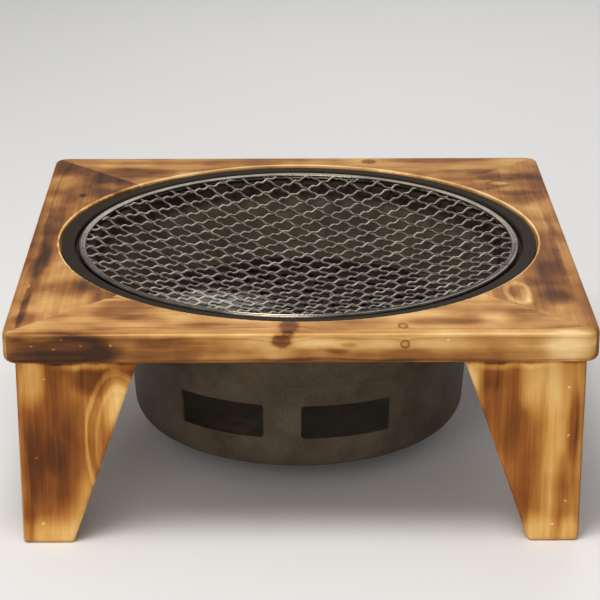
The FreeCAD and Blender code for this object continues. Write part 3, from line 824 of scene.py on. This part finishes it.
FRONT_BOARD_MARKS = (
    *marks_on(
        Face.FRONT, 6, (-168, 147, 45, 13, 0.5, 0.25), (-120, 147, 24, 9, 0.12, 0.5),
        (-88, 147, 30, 9, 0.12), (72, 142, 42, 5.5, 0.26, 0.5), (0, 137.5, 200, 2.0, 0.2),
        (20, 142, 180, 5, 0.12)),
    Mark((-10, -199.5, 158.3), (4.0, 4.0, 2.2), 0.2, 0.4),
    *marks_on(Face.FRONT, 4, (31, 151, 5, 1.8, 0.22), (24, 145.5, 7, 2.0, 0.2)),
    *marks_on(
        Face.FRONT, 5, (127, 146, 18, 10, 0.08), (182, 148, 16, 11, -0.36), (9, 152.5, 19, 4.5, -0.28),
        (30, 153, 60, 3.5, -0.06), (-18, 144.5, 13, 5, -0.24), (-90, 152.5, 24, 3.5, 0.16),
        (-28, 153, 9, 3.5, -0.14), (-172, 155.5, 12, 2.8, -0.3)),
    *marks_on(
        Face.TOP, 6, (132, -174, 12, 9, -0.2), (-148, -172, 12, 8, -0.16), (-106, -174, 14, 8, 0.26),
        (-137, -134, 11, 2.5, 0.4), (-120, -158, 20, 20, 0.34, 0.5), (-160, -165, 30, 22, 0.06),
        (152, -170, 14, 14, 0.28)),
    *marks_on(Face.TOP, 5, (-67, -186, 14, 5, 0.22), (98, -179, 26, 8, 0.18)),
    chip(-180, -200, 150), chip(-165.5, -200, 147), chip(-147, -200, 150), chip(-159, -200, 153),
    chip(-127, -200, 151), chip(98, -200, 153),
)
RIGHT_BOARD_MARKS = (
    *marks_on(
        Face.TOP, 7, (180, -62, 10, 62, 0.26, 0.5), (168, -80, 8, 30, 0.08), (189, -20, 2.5, 100, 0.16),
        (186, 58, 8, 16, -0.2), (172, 103, 20, 6, 0.24), (168, 145, 26, 9, 0.26),
        (165, 127, 9, 4, -0.2, 0.4), (152, 118, 14, 10, 0.2), (168, 88, 14, 14, 0.26),
        (152, -126, 9, 19, -0.2, 0.6, 1.0, 0.2), (158, -132, 5, 14, -0.2, 0.6), (176, -132, 12, 14, 0.22),
        (158, -153, 14, 10, 0.2), (164, -104, 8, 8, 0.14), (187, 90, 7, 10, 0.12),
        (160, -160, 26, 26, -0.1, 0.8)),
    Mark((196, 0, 147), (6, 190, 8), 0.12),
    chip(178, -60, 159),
)
BACK_BOARD_MARKS = (
    *marks_on(
        Face.TOP, 7, (-110, 186, 60, 6, 0.12), (118, 190, 40, 6, 0.2), (160, 160, 32, 9, 0.2),
        (175, 184, 18, 8, -0.14), (-136, 158, 30, 12, 0.28)),
    Mark((0, 200, 146), (190, 6, 7), 0.25),
)
LEFT_BOARD_MARKS = (
    *marks_on(
        Face.TOP, 7, (-188, -60, 5, 50, 0.26, 0.5), (-189, -150, 3, 40, 0.26, 0.5),
        (-160, 142, 36, 44, 0.26), (-164, -112, 18, 20, 0.34), (-186, 136, 9, 22, -0.26),
        (-150, 122, 12, 9, -0.24), (-164, 88, 7, 8, -0.14), (-168, -74, 8, 10, 0.14),
        (-185, -172, 8, 10, 0.22), (-184, 28, 7, 44, 0.15), (-130, -140, 16, 26, 0.34, 0.5),
        (-172, -90, 12, 40, -0.14), (-163, -158, 36, 34, -0.22, 0.8), (-190, 86, 7, 16, -0.12)),
    Mark((-178.5, -28, 159), (3, 6, 5), 0.3),
    Mark((-200, -60, 146), (6, 100, 9), 0.25),
    chip(-184, 60, 159), chip(-190, -110, 159),
)
FRONT_BOARD_KNOTS = (
    Knot((-8.5, -188.5, 159.5), (7.0, 12.5, 4.6), 0.34, 0.1),
    Knot((-13.3, -201, 153.0), (7.0, 6.5, 5.2), 0.34, 0.12),
    Knot((68, -188.5, 159), (3.0, 4.8, 4.0), 0.06, 0.28, 1.5),
    Knot((69, -200, 150.5), (3.0, 4.0, 2.8), 0.1, 0.3, 1.5),
)
RIGHT_BOARD_KNOTS = (
    Knot((162, 126, 159), (10, 7, 10), 0.0, 0.1, 6.0),
    Knot((154, -128, 159), (6, 14, 8), 0.0, 0.0, 5.0),
)

TOP_LOOKS = (
    CharredPine(
        "top_board_front", Grain.LEFT_TO_RIGHT, heart=(-150, 80), ring_width=6.0, shade=0.36, sanded=0.22,
        marks=FRONT_BOARD_MARKS, knots=FRONT_BOARD_KNOTS),
    CharredPine(
        "top_board_right", Grain.FRONT_TO_BACK, heart=(168, 60), ring_width=7.0, shade=0.5, sanded=0.5,
        marks=RIGHT_BOARD_MARKS, knots=RIGHT_BOARD_KNOTS),
    CharredPine(
        "top_board_back", Grain.LEFT_TO_RIGHT, heart=(150, 90), ring_width=6.5, shade=0.46, sanded=0.5,
        marks=BACK_BOARD_MARKS, knots=(Knot((60, 188, 158), (6, 5, 8), 0.3, 0.2),)),
    CharredPine(
        "top_board_left", Grain.FRONT_TO_BACK, heart=(-150, 70), ring_width=6.5, shade=0.57, sanded=0.55,
        marks=LEFT_BOARD_MARKS, knots=(Knot((-170, 99, 159), (3.2, 4.5, 8), 0.3, 0.1),)),
)


def leg_look(node: str, face: Face, side: int, shade: float, marks: tuple[Mark, ...]) -> CharredPine:
    """Describe one leg board.

    Args:
        node: The board's node.
        face: Its outer face.
        side: Which end of that face the corner is at: -1 for left or front, 1 for right or back.
        shade: Its overall burn.
        marks: Its torch marks, and on the front boards a painted shadow line under the table top.

    Returns:
        The board's look, with a heart well inside the leg.
    """
    axis, level = face.value
    grain = Grain.UPRIGHT_FACING_FRONT if axis else Grain.UPRIGHT_FACING_SIDE
    return CharredPine(node, grain, heart=(side * 150, math.copysign(120, level)), ring_width=7.5,
                       waver=20.0, shade=shade, tones=LEG_TONES, ragged=7.0, blotchy=0.14, streaky=1.15,
                       cloudy=0.6, marks=marks)


LEG_LOOKS = (
    leg_look("front_left_leg_front_board", Face.LEG_FRONT, -1, 0.4, (
        *marks_on(
            Face.LEG_FRONT, 9,
            (-182, 123, 6.5, 19, -0.38), (-166, 74, 18, 64, 0.24, 0.5), (-184, 54, 8, 30, 0.24),
            (-124.5, 76, 22, 51, -0.22, 0.6, 1.0, 0.05), (-124, 72, 16, 44, -0.12, 0.6, 1.0, 0.06),
            (-159, 112, 5, 15, -0.14), (-168, 66, 7, 12, 0.14), (-189, 12, 4, 20, 0.24),
            (-124, 102, 9, 17, -0.42, 0.7), (-138, 70, 7, 34, 0.06, 0.6), (-142, 122, 12, 10, 0.28, 0.5),
            (-118, 129, 12, 6, 0.24), (-140, 131.5, 21, 2.6, -0.26, 0.7), (-147, 30, 6, 24, -0.14),
            # The last row here is a painted shadow: a dark line where the table top overhangs the leg.
            (-159, 14, 12, 16, -0.2), (-168, 4, 28, 13, -0.3), (-150, 136, 45, 2.6, 0.4, 0.6)),
        chip(-174, -192, 123), chip(-181, -192, 65), chip(-178, -192, 15),
    )),
    leg_look("front_right_leg_front_board", Face.LEG_FRONT, 1, 0.34, (
        *marks_on(
            Face.LEG_FRONT, 9,
            (112, 122, 8, 11, -0.44), (126, 123, 7, 9, 0.16), (154, 120, 8, 16, -0.26),
            (135, 100, 15, 32, 0.26, 0.5), (148, 50, 18, 48, 0.2, 0.5), (172, 80, 7, 56, -0.08, 0.5),
            (178, 34, 5, 26, 0.2), (168, 42, 4, 28, -0.14), (185, 88, 4.5, 24, 0.26, 0.6),
            (189, 75, 3.0, 68, 0.16, 0.5), (164, 6, 10, 14, -0.28), (185, 7, 6, 11, -0.3),
            # The last row here is a painted shadow: a dark line where the table top overhangs the leg.
            (141, 131.5, 22, 2.4, -0.2, 0.7), (150, 135.5, 45, 2.4, 0.4, 0.6)),
        chip(179.6, -192, 115), chip(181.4, -192, 79), chip(182, -192, 30), chip(173, -192, 13),
    )),
    leg_look("front_left_leg_left_board", Face.LEG_LEFT, -1, 0.44, marks_on(
        Face.LEG_LEFT, 8, (-164, 70, 10, 60, 0.26), (-140, 131, 30, 3, -0.4), (-160, 5, 30, 9, -0.18))),
    leg_look("front_right_leg_right_board", Face.LEG_RIGHT, -1, 0.44, marks_on(
        Face.LEG_RIGHT, 8, (-160, 70, 12, 60, 0.26), (-150, 131, 30, 3, -0.4), (-160, 5, 30, 9, -0.18))),
    leg_look("back_right_leg_back_board", Face.LEG_BACK, 1, 0.42, marks_on(
        Face.LEG_BACK, 8, (160, 80, 12, 60, 0.26), (150, 131, 30, 3, -0.4))),
    leg_look("back_right_leg_right_board", Face.LEG_RIGHT, 1, 0.44, marks_on(
        Face.LEG_RIGHT, 8, (150, 60, 10, 60, 0.26), (150, 131, 30, 3, -0.4))),
    leg_look("back_left_leg_left_board", Face.LEG_LEFT, 1, 0.42, marks_on(
        Face.LEG_LEFT, 8, (170, 80, 9, 60, 0.26), (140, 131, 30, 3, -0.4))),
    leg_look("back_left_leg_back_board", Face.LEG_BACK, -1, 0.42, marks_on(
        Face.LEG_BACK, 8, (-150, 60, 12, 60, 0.26), (-150, 131, 30, 3, -0.4))),
)


@dataclass
class Table:
    """The charred table: boards, legs, glue blocks, dowels and screws."""

    looks: tuple[CharredPine, ...] = TOP_LOOKS + LEG_LOOKS

    def dress(self, effects: Effects) -> None:
        """Give every table node its finish."""
        for look in self.looks:
            dress(look.node, look.build(effects))
        sawn = SawnPine().build(effects)
        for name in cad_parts:
            if name.endswith("corner_block") or name == "mitre_dowels":
                dress(name, sawn)
        zinc = ZINC_PLATE.build(effects)
        for name in ("top_screws", "leg_screws"):
            dress(name, zinc)


# ---- fire bowl

@dataclass
class FireBowl:
    """The pressed steel bowl: collar with its flange and ledge, and the pot with its air vents."""

    collar: MetalFinish = COLLAR_COAT
    pot: MetalFinish = POT_COAT

    def dress(self, effects: Effects) -> None:
        """Give the bowl its coat."""
        dress("fire_bowl_collar", self.collar.build(effects))
        dress("fire_bowl_pot", self.pot.build(effects))


@dataclass
class CharcoalPlate:
    """The perforated plate under the charcoal."""

    steel: MetalFinish = SCALED_STEEL

    def dress(self, effects: Effects) -> None:
        """Give the plate its scale, its dust and a painted highlight."""
        dress("charcoal_plate", self.steel.build(effects))


# ---- cooking grate

def finish_mesh(name: str, points: list[Vector], faces: list[tuple[int, ...]], material: bpy.types.Material,
                sharp: float = 40.0) -> bpy.types.Object:
    """Make an object from points and faces.

    Args:
        name: The object's name.
        points: The corners, in metres.
        faces: The faces, as places in the list of corners.
        material: Its material.
        sharp: Edges bent by more degrees than this stay sharp.

    Returns:
        The new object.
    """
    mesh = bpy.data.meshes.new(name)
    mesh.from_pydata(points, [], faces)
    mesh.validate()
    mesh.shade_smooth()
    mesh.set_sharp_from_angle(angle=math.radians(sharp))
    mesh.materials.append(material)
    return put_in_scene(name, mesh)


class WovenNet:
    """The Geometry Nodes tree that weaves one family of dished, crimped wires.

    A wire has WIRE_SIDES sides and makes HALF_WAVES half waves between two crossings. Its crimp fades
    out between the dish's rim and CRIMP_END times it.
    """

    WIRE_SIDES = 8
    HALF_WAVES = 3.0
    CRIMP_END = 1.02

    def __init__(self) -> None:
        """Build the tree."""
        made = SharedGroup("woven_net", {
            "Geometry": "geometry", "Rows": "int", "Steps": "int", "Pitch": "float", "Own Shift": "float",
            "Other Shift": "float", "Reach": "float", "Dish Radius": "float", "Sag": "float",
            "Level": "float", "Swing": "float", "Wire Radius": "float", "Parity": "float",
            "Along": "vector", "Aside": "vector", "Finish": "material"}, {"Geometry": "geometry"},
            "GeometryNodeTree")
        self.tree = made.tree
        bench, takes = made.bench, made.takes
        line = bench.add("GeometryNodeCurvePrimitiveLine", {"Start": (0, 0, 0), "End": (1, 0, 0)})
        fine = bench.add("GeometryNodeResampleCurve", {"Curve": line.outputs[0], "Count": takes["Steps"]})
        many = bench.add("GeometryNodeDuplicateElements", {"Geometry": fine.outputs[0],
                                                           "Amount": takes["Rows"]}, domain="SPLINE")
        middle = bench.math("MULTIPLY", bench.math("SUBTRACT", takes["Rows"], 1.0), 0.5)
        row = bench.math("SUBTRACT", many.outputs["Duplicate Index"], middle)
        kept = bench.add("GeometryNodeStoreNamedAttribute", {"Geometry": many.outputs[0], "Name": "row",
                                                             "Value": row},
                         data_type="FLOAT", domain="CURVE")
        row = bench.add("GeometryNodeInputNamedAttribute", {"Name": "row"}, data_type="FLOAT").outputs[0]
        offset = bench.plus(takes["Own Shift"], row, takes["Pitch"])
        room = bench.math("SUBTRACT", bench.math("MULTIPLY", takes["Reach"], takes["Reach"]),
                          bench.math("MULTIPLY", offset, offset))
        half = bench.math("SQRT", bench.math("MAXIMUM", room, 0.0))
        short = bench.math("LESS_THAN", half, takes["Pitch"])
        trimmed = bench.add("GeometryNodeDeleteGeometry", {"Geometry": kept.outputs[0], "Selection": short},
                            domain="CURVE")
        factor = bench.add("GeometryNodeSplineParameter").outputs["Factor"]
        run = bench.math("MULTIPLY", bench.math("MULTIPLY_ADD", factor, 2.0, -1.0), half)
        spot = bench.vector("ADD", bench.times(takes["Along"], run), bench.times(takes["Aside"], offset))
        distance = bench.vector("LENGTH", spot)
        share = bench.math("DIVIDE", distance, takes["Dish Radius"])
        hollow = bench.math("MAXIMUM", bench.flipped(bench.math("MULTIPLY", share, share)), 0.0)
        depth = bench.math("MULTIPLY", takes["Sag"], hollow)
        crossing = bench.math("DIVIDE", bench.math("SUBTRACT", run, takes["Other Shift"]), takes["Pitch"])
        turn = bench.math("ADD", bench.plus(row, crossing, self.HALF_WAVES), takes["Parity"])
        wave = bench.math("COSINE", bench.math("MULTIPLY", turn, math.pi))
        free = bench.flipped(bench.ease(share, 1.0, self.CRIMP_END))
        lift = bench.math("MULTIPLY", bench.math("MULTIPLY", wave, takes["Swing"]), free)
        height = bench.math("SUBTRACT", bench.math("SUBTRACT", takes["Level"], depth), lift)
        raised = bench.vector("ADD", spot, bench.add("ShaderNodeCombineXYZ", {2: height}).outputs[0])
        placed = bench.add("GeometryNodeSetPosition", {"Geometry": trimmed.outputs[0], "Position": raised})
        ring = bench.add("GeometryNodeCurvePrimitiveCircle", {"Resolution": self.WIRE_SIDES,
                                                              "Radius": takes["Wire Radius"]})
        tube = bench.add("GeometryNodeCurveToMesh", {"Curve": placed.outputs[0],
                                                     "Profile Curve": ring.outputs[0], "Fill Caps": True})
        real = bench.add("GeometryNodeRealizeInstances", {0: tube.outputs[0]})
        finished = bench.add("GeometryNodeSetMaterial", {"Geometry": real.outputs[0],
                                                         "Material": takes["Finish"]})
        made.give("Geometry", finished.outputs[0])

    def weave(self, name: str, sizes: dict[str, object]) -> bpy.types.Object:
        """Run the tree once and keep its result as a plain mesh.

        Args:
            name: The piece's name.
            sizes: What each named input gets.

        Returns:
            The woven wires.
        """
        carrier = put_in_scene(f"{name}_carrier", bpy.data.meshes.new(f"{name}_carrier"))
        modifier = carrier.modifiers.new("weave", "NODES")
        modifier.node_group = self.tree
        for item in self.tree.interface.items_tree:
            if item.in_out == "INPUT" and item.name in sizes:
                modifier[item.identifier] = sizes[item.name]
        graph = bpy.context.evaluated_depsgraph_get()
        mesh = bpy.data.meshes.new_from_object(carrier.evaluated_get(graph))
        bpy.data.objects.remove(carrier)
        mesh.name = name
        mesh.shade_smooth()
        return put_in_scene(name, mesh)


@dataclass
class CookingGrate:
    """The dished net of crimped wire in its folded band, its sizes in metres and degrees.

    The wires end wire_end short of the band's outside, and the lap thickens the outer swell_depth
    of the band's section by lap_thickness.
    """

    wire_radius: float = 0.92 * MM
    pitch: float = 15.86 * MM
    sag: float = 17.0 * MM
    long_swing: float = 0.75 * MM
    cross_swing: float = 0.4 * MM
    turn: float = 38.8
    shift_along: float = 13.35 * MM
    shift_across: float = 8.5 * MM
    steps: int = 300
    wire_end: float = 1.8 * MM
    fold_depth: float = 5.5 * MM
    swell_depth: float = 2.8 * MM
    lap_thickness: float = 0.25 * MM
    band_steps: int = 240
    lap_steps: int = 8
    seam_angle: float = -15.0
    seam_length: float = 7.0

    def build(self, effects: Effects) -> list[bpy.types.Object]:
        """Make and dress the wires and the band.

        Args:
            effects: The shared groups.

        Returns:
            The grate's pieces.
        """
        low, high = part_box("grate_band")
        pieces = []
        net = WovenNet()
        outside = high[0]
        inside = outside - self.fold_depth
        for name, crosswise, swing, finish in (
                ("grate_wires_long", False, self.long_swing, PAINTED_LIT_WIRE),
                ("grate_wires_cross", True, self.cross_swing, PAINTED_SHADED_WIRE)):
            turn = math.radians(self.turn - (90 if crosswise else 0))
            along = Vector((math.cos(turn), math.sin(turn), 0))
            aside = Vector((-along.y, along.x, 0)) * (1 if crosswise else -1)
            own, other = self.shift_across, self.shift_along
            if crosswise:
                own, other = other, own
            piece = net.weave(f"woven_{name}", {
                "Rows": 2 * math.ceil(outside / self.pitch) + 1, "Steps": self.steps, "Pitch": self.pitch,
                "Own Shift": own, "Other Shift": other, "Reach": outside - self.wire_end,
                "Dish Radius": inside - 2 * self.wire_radius, "Sag": self.sag,
                "Level": (low[2] + high[2]) / 2, "Swing": swing, "Wire Radius": self.wire_radius,
                "Parity": 1.0 if crosswise else 0.0, "Along": along, "Aside": aside,
                "Finish": finish.build(effects)})
            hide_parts(name)
            pieces.append(piece)
        pieces += self._band(outside, low[2], high[2], GRATE_BAND.build(effects))
        for piece in pieces:
            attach(piece, "cooking_grate")
        return pieces

    def _fold(self, outside: float, bottom: float, top: float, grow: float) -> list[tuple[float, float]]:
        """Give the band's folded section, open towards the middle.

        Args:
            outside: The band's outer radius.
            bottom: Its lowest height.
            top: Its highest height.
            grow: How much thicker than the band this section is.

        Returns:
            The section's corners as radius and height.
        """
        crown = [(0.0, -2.25), (0.0, -1.4), (0.2, -0.7), (0.6, -0.22), (1.1, 0.0), (1.9, -0.09),
                 (2.65, -0.2), (2.95, -0.42), (3.2, -0.42), (3.5, -0.16), (4.2, -0.25), (4.9, -0.34),
                 (5.35, -0.6), (5.5, -1.0), (5.5, -1.6), (5.3, -1.95), (4.8, -1.7), (4.5, -1.15),
                 (2.2, -1.15), (1.9, -2.25)]
        middle = (bottom + top) / 2
        upper = [(outside - inward * MM, top + down * MM) for inward, down in crown]
        lower = [(radius, 2 * middle - height) for radius, height in reversed(upper[1:-1])]
        section = []
        for radius, height in upper + lower:
            share = max(0.0, (radius - outside + self.swell_depth) / self.swell_depth)
            lift = math.copysign(grow, height - middle) if abs(height - middle) > MM else 0.0
            section.append((radius + grow * share, height + lift))
        return section

    def _sweep(self, name: str, section: list[tuple[float, float]], start: float, sweep: float,
               steps: int, material: bpy.types.Material) -> bpy.types.Object:
        """Turn a section about the middle axis.

        Args:
            name: The piece's name.
            section: Its corners as radius and height.
            start: The first angle, in degrees.
            sweep: How far it turns, in degrees.
            steps: The number of steps.
            material: The finish.

        Returns:
            The swept piece, closed all round or capped at both ends.
        """
        whole = abs(sweep) >= 360
        stops = steps if whole else steps + 1
        points = []
        for stop in range(stops):
            angle = math.radians(start + sweep * stop / steps)
            points += [Vector((radius * math.cos(angle), radius * math.sin(angle), height))
                       for radius, height in section]
        count = len(section)
        faces = []
        for stop in range(steps):
            near = stop * count
            far = ((stop + 1) % stops) * count
            for corner in range(count):
                after = (corner + 1) % count
                faces.append((near + corner, near + after, far + after, far + corner))
        if not whole:
            faces.append(tuple(reversed(range(count))))
            faces.append(tuple(range(steps * count, steps * count + count)))
        return finish_mesh(name, points, faces, material)

    def _band(self, outside: float, bottom: float, top: float,
              material: bpy.types.Material) -> list[bpy.types.Object]:
        """Make the folded band and the lap of its seam.

        Args:
            outside: The band's outer radius.
            bottom: Its lowest height.
            top: Its highest height.
            material: The finish.

        Returns:
            The band and the lap.
        """
        section = self._fold(outside, bottom, top, 0.0)
        band = self._sweep("folded_grate_band", section, 0, 360, self.band_steps, material)
        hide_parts("grate_band")
        section = self._fold(outside, bottom, top, self.lap_thickness)
        lap = self._sweep("grate_band_lap", section, self.seam_angle - self.seam_length, self.seam_length,
                          self.lap_steps, material)
        return [band, lap]


# ---- studio

@dataclass
class Studio:
    """The floor, the lights and the camera.

    The sky lights the object at sky_light, and shows at full strength behind it. Each lamp has its
    name, place, side and power, and faces lit.
    """

    floor_size: float = 8.0
    floor_clouds: float = 1.5
    floor_roughness: float = 0.9
    sky_light: float = 0.45
    sensor: float = 36.0
    lens: float = 131.3
    eye: Triple = (-0.0148, -1.5535, 0.6908)
    target: Triple = (0.00098, 0.0, 0.107)
    lit: Triple = (0, 0, 0.1)
    lamps: tuple[tuple[str, Triple, float, float], ...] = (
        ("key_lamp", (-0.25, -0.5, 1.5), 0.55, 16.0), ("back_lamp", (0.3, 1.4, 1.3), 1.2, 9.0),
        ("front_lamp", (-0.5, -2.0, 0.7), 1.4, 13.0))

    def build(self) -> None:
        """Set up the whole studio."""
        self._floor()
        self._backdrop()
        for lamp in self.lamps:
            self._lamp(*lamp)
        self._camera()

    def _floor(self) -> None:
        """Lay the plain pale floor."""
        half = self.floor_size / 2
        material, bench, shader, place = new_material("pale_floor")
        shade = bench.noise(place, self.floor_clouds)
        bench.feed(shader.inputs["Base Color"], bench.mixed(shade, tone(226, 224, 220), tone(232, 230, 227)))
        shader.inputs["Roughness"].default_value = self.floor_roughness
        corners = [Vector((x * half, y * half, 0.0)) for x, y in ((-1, -1), (1, -1), (1, 1), (-1, 1))]
        floor = finish_mesh("studio_floor", corners, [(0, 1, 2, 3)], material)
        floor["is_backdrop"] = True

    def _backdrop(self) -> None:
        """Set a soft even sky that shows pale behind everything."""
        world = bpy.data.worlds.new("studio_world")
        world.use_nodes = True
        bpy.context.scene.world = world
        bench = Bench(world.node_tree)
        ground = next(node for node in world.node_tree.nodes if node.type == "BACKGROUND")
        rays = bench.add("ShaderNodeLightPath").outputs
        seen = bench.math("MAXIMUM", rays["Is Camera Ray"], rays["Is Transmission Ray"])
        bench.feed(ground.inputs["Color"], bench.mixed(seen, tone(226, 228, 232), tone(232, 230, 227)))
        bench.feed(ground.inputs["Strength"], bench.plus(self.sky_light, seen, 1 - self.sky_light))

    def _lamp(self, name: str, at: Triple, size: float, power: float) -> None:
        """Hang one soft square lamp that faces the object.

        Args:
            name: The lamp's name.
            at: Where it hangs, in metres.
            size: Its side, in metres.
            power: Its power, in watts.
        """
        data = bpy.data.lights.new(name, "AREA")
        data.shape = "SQUARE"
        data.size = size
        data.energy = power
        self._aim(put_in_scene(name, data), at, self.lit)

    def _camera(self) -> None:
        """Place the camera."""
        data = bpy.data.cameras.new("camera")
        data.lens = self.lens
        data.sensor_width = self.sensor
        camera = put_in_scene("camera", data)
        self._aim(camera, self.eye, self.target)
        bpy.context.scene.camera = camera

    @staticmethod
    def _aim(placed: bpy.types.Object, at: Triple, target: Triple) -> None:
        """Put a lamp or the camera at a place, facing another."""
        placed.location = at
        placed.rotation_euler = (Vector(target) - Vector(at)).to_track_quat("-Z", "Y").to_euler()


def main() -> None:
    """Build the scene, piece by piece."""
    logging.basicConfig(level=logging.INFO, format="%(message)s")
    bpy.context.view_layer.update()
    bpy.context.scene.view_settings.view_transform = "Standard"
    Studio().build()
    effects = Effects()
    Table().dress(effects)
    FireBowl().dress(effects)
    CharcoalPlate().dress(effects)
    for piece in CookingGrate().build(effects):
        log.info("made %s with %d faces", piece.name, len(piece.data.polygons))


if __name__ == "__main__":
    main()
